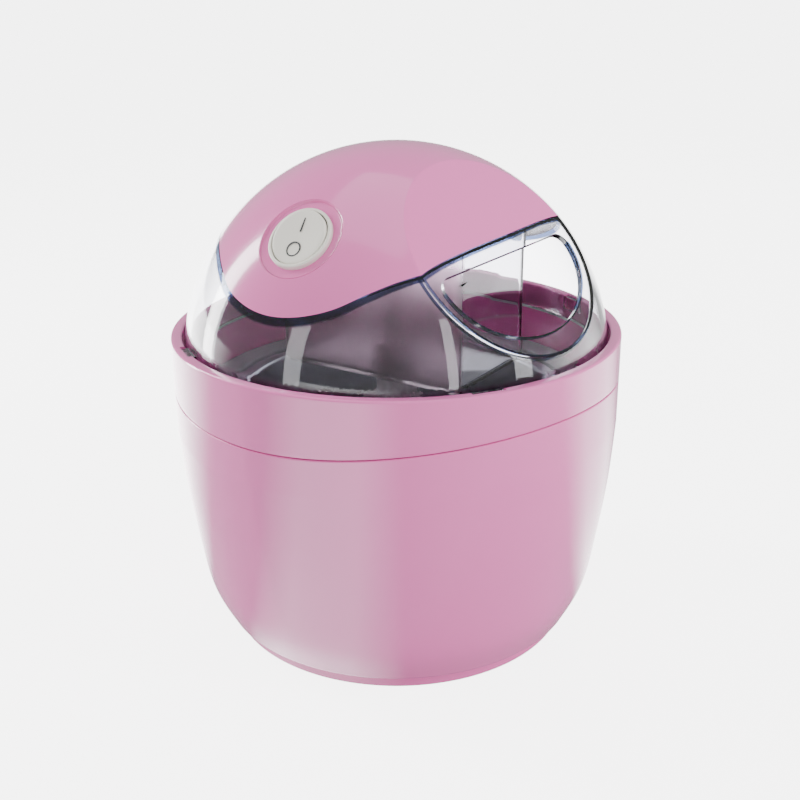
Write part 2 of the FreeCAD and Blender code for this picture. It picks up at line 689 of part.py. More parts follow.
def make_gearbox_plate():
    x, y = rotor_xy
    plate = disc(can_r - 1.5, plate_z, can_z, x, y)
    plate = plate.cut(disc(pin_r + shaft_clear, 150, 190, x, y))
    return plate.cut(disc(journal_r + shaft_clear, 150, 190))


# ---- switch -------------------------------------------------------------------------------
def make_switch_bezel():
    flange = disc(bezel_r, recess_floor, recess_floor + 1.9)
    flange = flange.makeFillet(0.7, [e for e in flange.Edges if e.BoundBox.ZMin > recess_floor + 1])
    barrel = disc(bezel_r - 0.5, micro_high, recess_floor)
    cup = join([flange, barrel]).cut(disc(rocker_r + 0.3, micro_high + 0.8, 90))
    cup = cup.cut(block(-3, 3, 1.5, 9.0, 70, 85))
    pins = Part.makeCylinder(pivot_r + 0.1, 22.6, Vec(-11.3, 0, pivot_s), Vec(1, 0, 0))
    return on_switch(cup.cut(pins))


def make_switch_rocker():
    cap = disc(rocker_r, pivot_s - 0.3, pivot_s + 1.7)
    cap = cap.makeFillet(0.6, [e for e in cap.Edges if e.BoundBox.ZMin > pivot_s + 1])
    dish = Part.makeSphere(140.0, Vec(0, 0, pivot_s + 1.2 + 140.0))
    cap = cap.cut(dish)
    axle = Part.makeCylinder(pivot_r, 22.4, Vec(-11.2, 0, pivot_s), Vec(1, 0, 0))
    nib = block(-1.6, 1.6, 3.6, 6.4, pivot_s - 1.1, pivot_s)
    rocker = join([cap, axle, nib])
    rocker.rotate(Vec(0, 0, pivot_s), Vec(1, 0, 0), rocker_rest)
    return on_switch(rocker)


def make_micro_switch():
    case = block(-9.9, 9.9, 1.7, 11.6, micro_low, micro_high)
    plunger = disc(1.0, micro_high, micro_high + 0.6, 0, 5.0)
    return on_switch(join([case, plunger]))


def make_switch_terminals():
    tags = [block(x - 1.5, x + 1.5, 11.6, 16.0, 73.6, 74.2) for x in terminal_x]
    return on_switch(Part.makeCompound(tags))


def make_terminal_block():
    case = block(-8.0, 8.0, 43.5, 51.5, block_low, block_high)
    for x in (-4.0, 4.0):
        case = case.cut(disc(1.6, block_high - 2.2, block_high + 1, x, 47.5))
        case = case.cut(Part.makeCylinder(1.3, 20, Vec(x, 40, block_low + 1.7), Vec(0, 1, 0)))
    return case


def make_cord_gland():
    body = along_y(gland_r, 58.6, gland_y, gland_z)
    flange = along_y(gland_flange_r, gland_y, gland_y + 1.4, gland_z)
    nut = along_y(gland_nut_r, 57.2, 58.6, gland_z)
    return join([body, flange, nut]).cut(along_y(cord_r, 50.0, 80.0, gland_z))


def make_wire(points, radius=0.9, bend=4.0):
    """An insulated lead: straight runs joined by arcs that touch both."""
    stops = [Vec(*p) for p in points]
    edges = []
    start = stops[0]
    for before, here, after in zip(stops, stops[1:], stops[2:]):
        back = (before - here).normalize()
        on = (after - here).normalize()
        half = math.acos(max(-1.0, min(1.0, back.dot(on)))) / 2
        reach = bend / math.tan(half)
        first, last = here + back * reach, here + on * reach
        centre = here + (back + on).normalize() * (bend / math.sin(half))
        middle = centre + (here - centre).normalize() * bend
        edges.append(Part.makeLine(start, first))
        edges.append(Part.Arc(first, middle, last).toShape())
        start = last
    edges.append(Part.makeLine(start, stops[-1]))
    path = Part.Wire(edges)
    section = Part.Wire(Part.makeCircle(radius, stops[0], stops[1] - stops[0]))
    return path.makePipeShell([section], True, False)


def make_wires():
    lead_z = block_low + 1.7
    live = [(-4.0, 43.4, lead_z), (-4.0, 37.0, lead_z + 3.5), (-29.0, 33.0, 170.5), (-36.0, 4.0, 168.5),
            (-25.0, -22.0, 167.5), (-9.0, -30.0, 169.5), (-7.0, -38.4, 170.7)]
    motor = [(7.0, -38.4, 170.7), (9.0, -29.5, 169.5), (16.0, -22.0, 171.0), (17.0, -15.0, 172.0)]
    neutral = [(4.0, 43.4, lead_z), (4.0, 38.5, lead_z + 2.5), (7.0, 33.6, 171.0)]
    return live, motor, neutral


# ---- build and write ----------------------------------------------------------------------
def build():
    live, motor, neutral = make_wires()
    return {
        "outer_bowl": make_outer_bowl(),
        "collar_ring": make_collar_ring(),
        "rubber_feet": make_rubber_feet(),
        "collar_screws": make_collar_screws(),
        "seat_pads": make_seat_pads(),
        "bowl_liner": make_bowl_liner(),
        "freezer_shell": make_freezer_shell(),
        "fill_plug": make_fill_plug(),
        "rim_seal": make_rim_seal(),
        "coolant": make_coolant(),
        "lid": make_lid(),
        "lid_seal": make_lid_seal(),
        "paddle": make_paddle(),
        "paddle_clip": make_paddle_clip(),
        "motor_cover": make_motor_cover(),
        "motor_base": make_motor_base(),
        "cover_screws": make_cover_screws(),
        "motor_screws": make_motor_screws(),
        "motor_can": make_motor_can(),
        "motor_coil": make_motor_coil(),
        "rotor": make_rotor(),
        "idler_gear": make_idler_gear(),
        "idler_pin": make_idler_pin(),
        "output_gear": make_output_gear(),
        "drive_shaft": make_drive_shaft(),
        "drive_coupling": make_drive_coupling(),
        "shaft_bush": make_shaft_bush(),
        "gearbox_housing": make_gearbox_housing(),
        "gearbox_plate": make_gearbox_plate(),
        "switch_bezel": make_switch_bezel(),
        "switch_rocker": make_switch_rocker(),
        "micro_switch": make_micro_switch(),
        "switch_terminals": make_switch_terminals(),
        "terminal_block": make_terminal_block(),
        "cord_gland": make_cord_gland(),
        "lead_live": make_wire(live),
        "lead_motor": make_wire(motor, bend=3.0),
        "lead_neutral": make_wire(neutral, bend=2.5),
    }


os.makedirs("parts", exist_ok=True)
for node, shape in build().items():
    if not shape.isValid():
        print("not valid:", node)
    print(node, "solids", len(shape.Solids), "volume", round(shape.Volume, 1))
    shape.exportStep("parts/" + node + ".step")
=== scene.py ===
import bpy
import json
import math
from mathutils import Matrix, Vector


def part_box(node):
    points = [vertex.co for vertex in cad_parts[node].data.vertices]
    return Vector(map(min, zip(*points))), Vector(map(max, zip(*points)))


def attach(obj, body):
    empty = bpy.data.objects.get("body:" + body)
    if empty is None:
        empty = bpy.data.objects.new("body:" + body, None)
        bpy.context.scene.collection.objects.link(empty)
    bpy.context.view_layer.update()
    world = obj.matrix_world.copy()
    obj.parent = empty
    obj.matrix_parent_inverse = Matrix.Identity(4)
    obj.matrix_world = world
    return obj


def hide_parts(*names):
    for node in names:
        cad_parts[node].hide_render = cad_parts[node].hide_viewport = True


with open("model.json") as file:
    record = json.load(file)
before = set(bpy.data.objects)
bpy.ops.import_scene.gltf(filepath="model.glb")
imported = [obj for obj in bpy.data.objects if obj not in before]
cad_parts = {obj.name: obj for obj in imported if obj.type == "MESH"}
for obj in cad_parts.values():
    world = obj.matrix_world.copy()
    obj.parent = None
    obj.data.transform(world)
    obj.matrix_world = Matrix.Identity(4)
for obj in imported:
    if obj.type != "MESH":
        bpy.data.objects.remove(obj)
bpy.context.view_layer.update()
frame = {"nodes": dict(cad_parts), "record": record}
nodes = frame["nodes"]
mm = 0.001

# Places that every piece shares, taken from the frame, in millimetres.
collarLow, collarHigh = [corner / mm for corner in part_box("collar_ring")]
bodyR = (collarHigh.x - collarLow.x) / 2
rimZ = collarHigh.z
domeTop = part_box("motor_cover")[1].z / mm
domeR = 82.65
domeZ = domeTop - domeR
facet = {"azimuth": -11.5, "tilt": 42.4, "distance": 72.2, "edge": 1.6}
partingPoints = [
    (-1.0, 0.110), (-0.92, 0.190), (-0.865, 0.242), (-0.80, 0.292), (-0.72, 0.350),
    (-0.62, 0.397), (-0.50, 0.424), (-0.30, 0.446), (-0.05, 0.465), (0.29, 0.487),
    (0.45, 0.465), (0.60, 0.395), (0.75, 0.310), (0.88, 0.225), (1.0, 0.140),
]
tabTurns = [-122, -35, 58, 145]
well = {"x": 40.6, "front": -20.9, "rear": 30.3, "bottom": 104.5, "wall": 2.0}
opening = {"half": 35.2, "depth": 27.4, "corner": 4.6, "turn": 5.1, "x": 0.6, "y": -4.6}
seam = {"drop": 19.7, "wave": 3.8, "turn": -8.0, "gap": 0.34, "blend": 26.0}


# small helpers for modelling
def deselectAll():
    for thing in bpy.context.selected_objects:
        thing.select_set(False)


def takeUp(piece):
    deselectAll()
    piece.select_set(True)
    bpy.context.view_layer.objects.active = piece


def editing(piece, action):
    takeUp(piece)
    bpy.ops.object.mode_set(mode="EDIT")
    action()
    bpy.ops.object.mode_set(mode="OBJECT")


def settle(piece):
    # the object goes to the origin and its place goes into the mesh
    takeUp(piece)
    bpy.ops.object.transform_apply(location=True, rotation=True, scale=True)
    return piece


def modify(piece, kind, **settings):
    takeUp(piece)
    modifier = piece.modifiers.new(kind, kind)
    for key, value in settings.items():
        setattr(modifier, key, value)
    bpy.ops.object.modifier_apply(modifier=modifier.name)
    return piece


def carve(piece, cutter, operation="DIFFERENCE"):
    modify(piece, "BOOLEAN", operation=operation, object=cutter, solver="EXACT")
    bpy.data.objects.remove(cutter)
    return piece


def smooth(piece, degrees=32):
    takeUp(piece)
    bpy.ops.object.shade_smooth_by_angle(angle=math.radians(degrees))
    return piece


def recalculate():
    bpy.ops.mesh.select_all(action="SELECT")
    bpy.ops.mesh.remove_doubles(threshold=0.000002)
    bpy.ops.mesh.normals_make_consistent(inside=False)


def drawn(name, points):
    # one vertex, pulled along the points by extrusion
    deselectAll()
    bpy.ops.mesh.primitive_plane_add(size=mm)
    piece = bpy.context.object
    piece.name = name
    bpy.ops.object.mode_set(mode="EDIT")
    bpy.ops.mesh.select_all(action="SELECT")
    bpy.ops.mesh.merge(type="CENTER")
    bpy.ops.transform.translate(value=Vector(points[0]) * mm)
    for before, here in zip(points, points[1:]):
        step = (Vector(here) - Vector(before)) * mm
        bpy.ops.mesh.extrude_region_move(TRANSFORM_OT_translate={"value": step})
    bpy.ops.object.mode_set(mode="OBJECT")
    return piece


def turned(name, profile, steps=224):
    # profile is a closed outline of (radius, height), turned once round the Z axis
    points = [(r, 0, z) for r, z in profile]
    piece = drawn(name, points + points[:1])

    def turn():
        bpy.ops.mesh.select_all(action="SELECT")
        bpy.ops.mesh.spin(steps=steps, angle=math.tau, center=(0, 0, 0), axis=(0, 0, 1))
        recalculate()
    editing(piece, turn)
    return piece


def prism(name, points, push):
    # a flat outline of points, filled and pushed along the vector
    piece = drawn(name, list(points) + [points[0]])

    def fill():
        bpy.ops.mesh.select_all(action="SELECT")
        bpy.ops.mesh.remove_doubles(threshold=0.000002)
        bpy.ops.mesh.edge_face_add()
        bpy.ops.mesh.extrude_region_move(TRANSFORM_OT_translate={"value": Vector(push) * mm})
        recalculate()
    editing(piece, fill)
    return piece


def arc(cx, cz, radius, start, end, count=8):
    turns = [math.radians(start + (end - start) * i / count) for i in range(count + 1)]
    return [(cx + radius * math.cos(t), cz + radius * math.sin(t)) for t in turns]


def cut(name, radius, low, high, x=0.0, y=0.0, sides=96):
    deselectAll()
    bpy.ops.mesh.primitive_cylinder_add(vertices=sides, radius=radius * mm, depth=(high - low) * mm,
                                        location=(x * mm, y * mm, (low + high) / 2 * mm))
    bpy.context.object.name = name
    return settle(bpy.context.object)


def roundedBox(name, x, y, z, corner=0.0):
    deselectAll()
    bpy.ops.mesh.primitive_cube_add(size=1)
    piece = bpy.context.object
    piece.name = name
    piece.scale = [(side[1] - side[0]) * mm for side in (x, y, z)]
    piece.location = [(side[1] + side[0]) / 2 * mm for side in (x, y, z)]
    settle(piece)
    if corner:
        takeUp(piece)
        bpy.ops.object.mode_set(mode="EDIT")
        bpy.ops.mesh.select_all(action="DESELECT")
        bpy.ops.object.mode_set(mode="OBJECT")
        for edge in piece.data.edges:
            a, b = [piece.data.vertices[i].co for i in edge.vertices]
            edge.select = abs(a.z - b.z) > mm
        bpy.ops.object.mode_set(mode="EDIT")
        bpy.ops.mesh.select_mode(type="EDGE")
        bpy.ops.mesh.bevel(offset=corner * mm, segments=6, affect="EDGES")
        bpy.ops.mesh.select_mode(type="VERT")
        bpy.ops.object.mode_set(mode="OBJECT")
    return piece


def through(points, count):
    # a smooth line through the points, by cubic steps
    line = []
    for i in range(len(points) - 1):
        p0, p1 = points[max(i - 1, 0)], points[i]
        p2, p3 = points[i + 1], points[min(i + 2, len(points) - 1)]
        for k in range(count):
            t = k / count
            line.append(tuple(
                0.5 * (2 * b + (c - a) * t + (2 * a - 5 * b + 4 * c - d) * t * t
                       + (3 * b - a - 3 * c + d) * t ** 3)
                for a, b, c, d in zip(p0, p1, p2, p3)))
    return line + [tuple(points[-1])]


# places on the dome
def turnOnto(piece, alongX, alongY, alongZ):
    # from a piece's own axes to axes that start at the centre of the dome
    matrix = Matrix((alongX, alongY, alongZ)).transposed().to_4x4()
    piece.matrix_world = Matrix.Translation((0, 0, domeZ * mm)) @ matrix
    return settle(piece)


def ontoFacet(piece):
    a, e = math.radians(facet["azimuth"]), math.radians(facet["tilt"])
    return turnOnto(piece, (-math.sin(a), math.cos(a), 0),
                    (-math.sin(e) * math.cos(a), -math.sin(e) * math.sin(a), math.cos(e)),
                    (math.cos(e) * math.cos(a), math.cos(e) * math.sin(a), math.sin(e)))


def ontoSwitch(piece):
    slope = math.sqrt(0.5)
    return turnOnto(piece, (1, 0, 0), (0, slope, slope), (0, -slope, slope))


def facetedBall(name, inset):
    # a ball with one flat, drawn on the axis of the flat and turned into place
    radius, flat = domeR - inset, facet["distance"] - inset
    bend = facet["edge"]
    inner = radius - bend
    height = flat - bend
    reach = math.sqrt(inner ** 2 - height ** 2)
    top = math.degrees(math.atan2(height, reach))
    profile = [(0, flat)] + [(reach * i / 6, flat) for i in range(1, 6)]
    profile += arc(reach, height, bend, 90, top, 6)
    profile += arc(0, 0, radius, top, -90, 110)[1:]
    return ontoFacet(turned(name, profile, 300))


def underParting(name, lift):
    side = through(partingPoints, 12)
    points = [(-100, y * bodyR, rimZ + z * bodyR + lift) for y, z in side]
    points += [(-100, bodyR, -5), (-100, -bodyR, -5)]
    return prism(name, points, (200, 0, 0))


def flattenFrom(piece, height, drop):
    # cuts the ball off at a height and draws its flat underside down as a skirt
    def slice():
        bpy.ops.mesh.select_all(action="SELECT")
        bpy.ops.mesh.bisect(plane_co=(0, 0, height * mm), plane_no=(0, 0, 1), use_fill=True,
                            clear_inner=True)
        bpy.ops.mesh.select_all(action="DESELECT")
    editing(piece, slice)
    for face in piece.data.polygons:
        face.select = face.normal.z < -0.99 and abs(face.center.z - height * mm) < 0.00001
    takeUp(piece)
    bpy.ops.object.mode_set(mode="EDIT")
    bpy.ops.mesh.select_mode(type="FACE")
    bpy.ops.mesh.extrude_region_move(TRANSFORM_OT_translate={"value": (0, 0, -drop * mm)})
    bpy.ops.mesh.select_mode(type="VERT")
    recalculate()
    bpy.ops.object.mode_set(mode="OBJECT")
    return piece


# shader maths: a socket that can be added, multiplied and so on
class Value:
    def __init__(self, tree, socket):
        self.tree = tree
        self.socket = socket

    def maths(self, operation, first, second):
        node = self.tree.nodes.new("ShaderNodeMath")
        node.operation = operation
        for entry, item in zip(node.inputs, (first, second)):
            if isinstance(item, Value):
                self.tree.links.new(item.socket, entry)
            else:
                entry.default_value = item
        return Value(self.tree, node.outputs[0])

    def __add__(self, other):
        return self.maths("ADD", self, other)

    def __radd__(self, other):
        return self.maths("ADD", other, self)

    def __sub__(self, other):
        return self.maths("SUBTRACT", self, other)

    def __rsub__(self, other):
        return self.maths("SUBTRACT", other, self)

    def __mul__(self, other):
        return self.maths("MULTIPLY", self, other)

    def __rmul__(self, other):
        return self.maths("MULTIPLY", other, self)

    def __pow__(self, other):
        return self.maths("POWER", self, other)


class Nodes:
    # the nodes of one tree, with the method that makes any of them
    def __init__(self, tree):
        self.tree = tree

    def node(self, kind, settings=None, output=0, entries=None, **inputs):
        made = self.tree.nodes.new(kind)
        for key, value in (settings or {}).items():
            setattr(made, key, value)
        values = {key.replace("_", " "): value for key, value in inputs.items()}
        values.update(entries or {})
        for key, value in values.items():
            if isinstance(value, Value):
                self.tree.links.new(value.socket, made.inputs[key])
            else:
                made.inputs[key].default_value = value
        return Value(self.tree, made.outputs[output])


class Finish(Nodes):
    # a material under construction, with its Principled shader
    def __init__(self, name, **sockets):
        self.material = bpy.data.materials.new(name)
        self.material.use_nodes = True
        super().__init__(self.material.node_tree)
        self.shader = self.tree.nodes["Principled BSDF"]
        for socket, value in sockets.items():
            self.shader.inputs[socket.replace("_", " ")].default_value = value
        self.place = self.node("ShaderNodeTexCoord", output="Object")

    def connect(self, **values):
        for key, value in values.items():
            self.tree.links.new(value.socket, self.shader.inputs[key.replace("_", " ")])

    def noise(self, scale, detail=3.0):
        return self.node("ShaderNodeTexNoise", Vector=self.place, Scale=scale, Detail=detail)

    def between(self, factor, low, high):
        # a colour between two, by a factor from 0 to 1
        low, high = [item if isinstance(item, Value) else (*item, 1) for item in (low, high)]
        return self.node("ShaderNodeMix", {"data_type": "RGBA"}, 2, {0: factor, 6: low, 7: high})

    def parts(self, vector):
        split = self.node("ShaderNodeSeparateXYZ", Vector=vector)
        return [Value(self.tree, output) for output in split.socket.node.outputs]

    def moved(self, vector, by):
        return self.node("ShaderNodeVectorMath", entries={0: vector, 1: by})

    def dot(self, vector, direction):
        return self.node("ShaderNodeVectorMath", {"operation": "DOT_PRODUCT"}, "Value",
                         {0: vector, 1: direction})

    def curve(self, value, points):
        made = self.node("ShaderNodeFloatCurve", Value=value)
        mapping = made.socket.node.mapping
        line = mapping.curves[0]
        while len(line.points) < len(points):
            line.points.new(0.5, 0.5)
        for point, (x, y) in zip(line.points, sorted(points)):
            point.location = (x, y)
        mapping.update()
        return made

    def step(self, value, start, end):
        return self.node("ShaderNodeMapRange", Value=value, From_Min=start, From_Max=end)

    def band(self, value, half):
        # 1 within half of zero, fading to 0 a little beyond it
        size = value.maths("ABSOLUTE", value, 0.0)
        return self.step(size, half * 1.2, half * 0.8)

    def most(self, first, second):
        return first.maths("MAXIMUM", first, second)

    def bump(self, height, strength, distance):
        self.connect(Normal=self.node("ShaderNodeBump", Height=height, Strength=strength,
                                      Distance=distance))


def shaded(colour, amount):
    return tuple(channel * amount for channel in colour)


# finishes
def mouldedPlastic(name, colour, gloss, grain=900.0, depth=0.00001, coat=0.0):
    finish = Finish(name, Coat_Weight=coat, Coat_Roughness=0.04)
    cloud = finish.noise(14.0)
    finish.connect(Base_Color=finish.between(cloud, shaded(colour, 0.975), shaded(colour, 1.025)),
                   Roughness=gloss + (finish.noise(60.0) - 0.5) * 0.05)
    finish.bump(finish.noise(grain, 2.0), 0.12, depth)
    return finish.material


def clearPlastic(name, colour):
    # painted navy lines on the clear plastic, standing in for the dark refraction and inner reflection at
    # its edges: along the parting, round the facet and round the opening
    finish = Finish(name, Transmission_Weight=1.0, IOR=1.49)
    x, y, z = finish.parts(finish.place)
    edge = finish.curve(y * (1 / (bodyR * mm)) * 0.5 + 0.5, [(0.5 + p / 2, q) for p, q in partingPoints])
    parting = z - edge * (bodyR * mm) - rimZ * mm
    atParting = finish.step(parting, -1.7 * mm, -1.3 * mm)
    middle = finish.moved(finish.place, (0, 0, -domeZ * mm))
    a, e = math.radians(facet["azimuth"]), math.radians(facet["tilt"])
    along = finish.dot(middle, (-math.sin(a), math.cos(a), 0))
    upward = finish.dot(middle, (-math.sin(e) * math.cos(a), -math.sin(e) * math.sin(a), math.cos(e)))
    out = finish.dot(middle, (math.cos(e) * math.cos(a), math.cos(e) * math.sin(a), math.sin(e)))
    reach = (along * along + upward * upward) ** 0.5
    facetR = math.sqrt(domeR ** 2 - facet["distance"] ** 2) * mm
    nearFace = finish.step(out, (facet["distance"] - 4.5) * mm, (facet["distance"] - 3.5) * mm)
    atFacet = finish.band(reach - (facetR - 0.2 * mm), 0.55 * mm) * nearFace
    t = math.radians(opening["turn"])
    u = (along - opening["x"] * mm) * math.cos(t) + (upward - opening["y"] * mm) * math.sin(t)
    v = (upward - opening["y"] * mm) * math.cos(t) - (along - opening["x"] * mm) * math.sin(t)
    halves = (opening["half"] * mm, opening["depth"] * mm)
    ring = ((u * u) * (1 / halves[0] ** 2) + (v * v) * (1 / halves[1] ** 2)) ** 0.5
    under = finish.step(v, 0.6 * mm, -0.2 * mm)
    atOpening = finish.band(ring - 1.0, 0.022) * under * nearFace
    atTop = finish.band(v - 0.5 * mm, 0.4 * mm) * finish.step(ring, 1.02, 0.98) * nearFace
    # painted dark edge lines: the parting, facet edge and opening masks joined into one
    paintedDarkEdges = finish.most(finish.most(atParting, atFacet), finish.most(atOpening, atTop))
    haze = finish.noise(30.0)
    clear = finish.between(haze, shaded(colour, 0.985), colour)
    # frosted front wall of the well: its roughness and bump are real frost, and its pink tint is painted
    # pink light from the pink parts around it
    frostWithPaintedPink = finish.band(y - well["front"] * mm, 3.0 * mm) * finish.step(x, 43 * mm, 42 * mm)
    frostWithPaintedPink = frostWithPaintedPink * finish.step(x, -43 * mm, -42 * mm) * finish.step(z, 160 * mm, 150 * mm)
    # painted pink light on the frosted strip
    clear = finish.between(frostWithPaintedPink, clear, (0.62, 0.42, 0.52))
    # the painted navy edge lines are mixed into the base colour here
    finish.connect(Base_Color=finish.between(paintedDarkEdges, clear, (0.008, 0.016, 0.055)),
                   Roughness=0.01 + haze * 0.012 + frostWithPaintedPink * (0.20 + 0.25 * finish.noise(25.0)))
    finish.bump(finish.noise(45.0, 2.0) + frostWithPaintedPink * finish.noise(900.0) * 1.5, 0.05, 0.00004)
    return finish.material


def spunMetal(name, colour, rough):
    # fine rings left by spinning, round the Z axis
    finish = Finish(name, Metallic=1.0)
    rings = finish.node("ShaderNodeTexWave", {"wave_type": "RINGS", "rings_direction": "Z"},
                        output="Fac", Vector=finish.place, Scale=420.0, Distortion=1.2, Detail=2.0)
    stain = finish.noise(38.0)
    finish.connect(Base_Color=finish.between(stain, shaded(colour, 0.88), colour),
                   Roughness=rough + rings * 0.07 + stain * 0.06)
    finish.bump(rings, 0.25, 0.00002)
    return finish.material


def sheetMetal(name, colour, rough):
    finish = Finish(name, Metallic=1.0)
    speckle = finish.noise(260.0)
    finish.connect(Base_Color=finish.between(speckle, shaded(colour, 0.82), colour),
                   Roughness=rough + speckle * 0.12)
    finish.bump(speckle, 0.2, 0.00003)
    return finish.material


def softRubber(name, colour, rough=0.62):
    finish = Finish(name)
    grain = finish.noise(700.0)
    finish.connect(Base_Color=finish.between(grain, shaded(colour, 0.85), shaded(colour, 1.1)),
                   Roughness=rough + grain * 0.12)
    finish.bump(grain, 0.3, 0.00005)
    return finish.material


def woundCopper(name):
    finish = Finish(name, Metallic=1.0)
    turns = finish.node("ShaderNodeTexWave", {"wave_type": "BANDS", "bands_direction": "Z"},
                        output="Fac", Vector=finish.place, Scale=900.0, Distortion=0.6)
    finish.connect(Base_Color=finish.between(turns, (0.30, 0.10, 0.04), (0.75, 0.33, 0.13)),
                   Roughness=0.28 + turns * 0.15)
    finish.bump(turns, 0.6, 0.0001)
    return finish.material


colours = {
    "pink": (0.80, 0.17, 0.46),
    "lid": (0.93, 0.93, 0.965),
    "cream": (0.78, 0.755, 0.68),
    "liner": (0.42, 0.44, 0.50),
    "greyPlastic": (0.33, 0.33, 0.37),
    "paddle": (0.60, 0.57, 0.61),
}


def makeFinishes():
    return {
        "pink_plastic": mouldedPlastic("pinkGloss", colours["pink"], 0.16, coat=0.5),
        "clear_plastic": clearPlastic("clearLidPlastic", colours["lid"]),
        "cream_plastic": mouldedPlastic("creamPlastic", colours["cream"], 0.30, 700.0),
        "bowl_aluminium": spunMetal("spunLiner", colours["liner"], 0.28),
        "bowl_plastic": mouldedPlastic("bowlShellPlastic", colours["greyPlastic"], 0.42, 500.0, 0.00003),
        "paddle_plastic": mouldedPlastic("paddlePlastic", colours["paddle"], 0.30, 500.0),
        "rubber": softRubber("blackRubber", (0.035, 0.035, 0.038)),
        "silicone": softRubber("paleSilicone", (0.60, 0.60, 0.62), 0.45),
        "screw_steel": sheetMetal("zincScrews", (0.58, 0.58, 0.60), 0.30),
        "shaft_steel": sheetMetal("groundSteel", (0.68, 0.68, 0.70), 0.16),
        "motor_steel": sheetMetal("galvanisedSheet", (0.55, 0.56, 0.58), 0.34),
        "copper": woundCopper("copperWinding"),
        "magnet": sheetMetal("ferrite", (0.09, 0.09, 0.10), 0.48),
        "gear_plastic": mouldedPlastic("acetal", (0.80, 0.79, 0.74), 0.38, 500.0, 0.00003),
        "bronze": sheetMetal("sinteredBronze", (0.62, 0.42, 0.20), 0.38),
        "black_plastic": mouldedPlastic("blackPlastic", (0.022, 0.022, 0.025), 0.36, 500.0, 0.00003),
        "lead_pvc": mouldedPlastic("leadInsulation", (0.55, 0.56, 0.57), 0.45, 500.0, 0.00003),
        "coolant_gel": mouldedPlastic("freezingGel", (0.25, 0.42, 0.60), 0.50),
    }


finishes = makeFinishes()


def dress(piece, body, slot, *replaced):
    piece.data.materials.clear()
    piece.data.materials.append(finishes[slot])
    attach(piece, body)
    if replaced:
        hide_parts(*replaced)


def finishFrame():
    for entry in frame["record"]["subparts"]:
        mesh = nodes[entry["node"]].data
        mesh.materials.clear()
        mesh.materials.append(finishes[entry["material_slot"]])


finishFrame()
print("finishes made:", len(finishes))


# base
def seamZ(x, y):
    turn = math.atan2(y, x) - math.radians(seam["turn"])
    return rimZ - seam["drop"] + seam["wave"] * math.cos(2 * turn)


bowlBody = {"outline": [(87.0, 86.0), (85.2, 62.0), (81.9, 38.0), (78.6, 20.0), (72.6, 6.8)],
            "wall": 2.5, "footR": 69.0, "footGap": 0.6, "step": 6.8, "floor": 2.8}


def makeBowlBody():
    size = bowlBody
    top = rimZ - seam["drop"]
    outline = [(bodyR, top - 0.7 * i) for i in range(int((top - 86.0) / 0.7))]
    outline = arc(bodyR - 0.45, top - 0.45, 0.45, 90, 0, 4) + outline[1:]
    outer = outline + through(size["outline"], 12)
    outer += arc(72.0, 6.9, 0.5, -30, -90, 3) + [(size["footR"] + 0.5, size["step"] - 0.3)]
    outer += [(size["footR"], size["step"] - 0.9), (size["footR"], 1.4)]
    outer += arc(size["footR"] - 0.7, 1.3, 0.7, 0, -90, 5)
    outer += [(66.4, size["footGap"]), (66.0, 1.0), (66.0, size["floor"]), (0, size["floor"])]
    inner = [(0, 5.4), (66.0, 5.4), (69.5, 7.6)]
    inner += [(r - size["wall"], z) for r, z in reversed(through(size["outline"][:-1], 12))]
    inner += [(bodyR - size["wall"], 88.0), (bodyR - size["wall"], top)]
    piece = turned("bowlBody", outer + inner)
    lowest = top - seam["blend"]
    for vertex in piece.data.vertices:
        if vertex.co.z > lowest * mm:
            rise = min(1.0, (vertex.co.z / mm - lowest) / (seam["blend"] - 1.0))
            eased = rise * rise * (3 - 2 * rise)
            vertex.co.z += (seamZ(vertex.co.x, vertex.co.y) - top) * mm * eased
    dress(smooth(piece), "base", "pink_plastic", "outer_bowl")


collarSize = {"lip": 82.6, "lidSeat": 111.0, "bore": 79.8, "bowlSeat": 92.0, "seatR": 74.5,
              "seatT": 3.5, "tabR": 84.6, "tabWidth": 12.2, "edge": 0.9}


def makeCollarRing():
    size = collarSize
    low = rimZ - seam["drop"] + seam["gap"]
    edge = size["edge"]
    profile = arc(bodyR - 0.5, low + 0.5, 0.5, -90, 0, 4)
    profile += [(bodyR, low + 2 + (rimZ - edge - low - 3) * i / 8) for i in range(9)]
    profile += arc(bodyR - edge, rimZ - edge, edge, 0, 90, 6)
    profile += arc(size["lip"] + edge, rimZ - edge, edge, 90, 180, 6)
    profile += [(size["lip"], size["lidSeat"]), (size["bore"], size["lidSeat"]),
                (size["bore"], size["bowlSeat"]), (size["seatR"], size["bowlSeat"]),
                (size["seatR"], size["bowlSeat"] - size["seatT"]),
                (84.3, size["bowlSeat"] - size["seatT"]), (84.3, low)]
    piece = turned("collarRing", profile)
    for vertex in piece.data.vertices:
        radius = math.hypot(vertex.co.x, vertex.co.y) / mm
        if radius > 84.2 and vertex.co.z > 95 * mm:
            rise = max(0.0, min(1.0, (rimZ - 2.0 - vertex.co.z / mm) / (rimZ - 4.5 - low)))
            vertex.co.z += (seamZ(vertex.co.x, vertex.co.y) + seam["gap"] - low) * mm * rise
    for turn in tabTurns:
        notch = roundedBox("notch", (80, size["tabR"]), (-size["tabWidth"] / 2, size["tabWidth"] / 2),
                           (rimZ - 6.4, rimZ + 2))
        notch.rotation_euler.z = math.radians(turn)
        carve(piece, settle(notch))
    dress(smooth(piece), "base", "pink_plastic", "collar_ring")


makeBowlBody()
makeCollarRing()
print("base made")


# freezer bowl
linerSize = {"rimR": 60.0, "footR": 56.0, "rim": 95.4, "floor": 20.0, "wall": 1.2, "corner": 14.0}


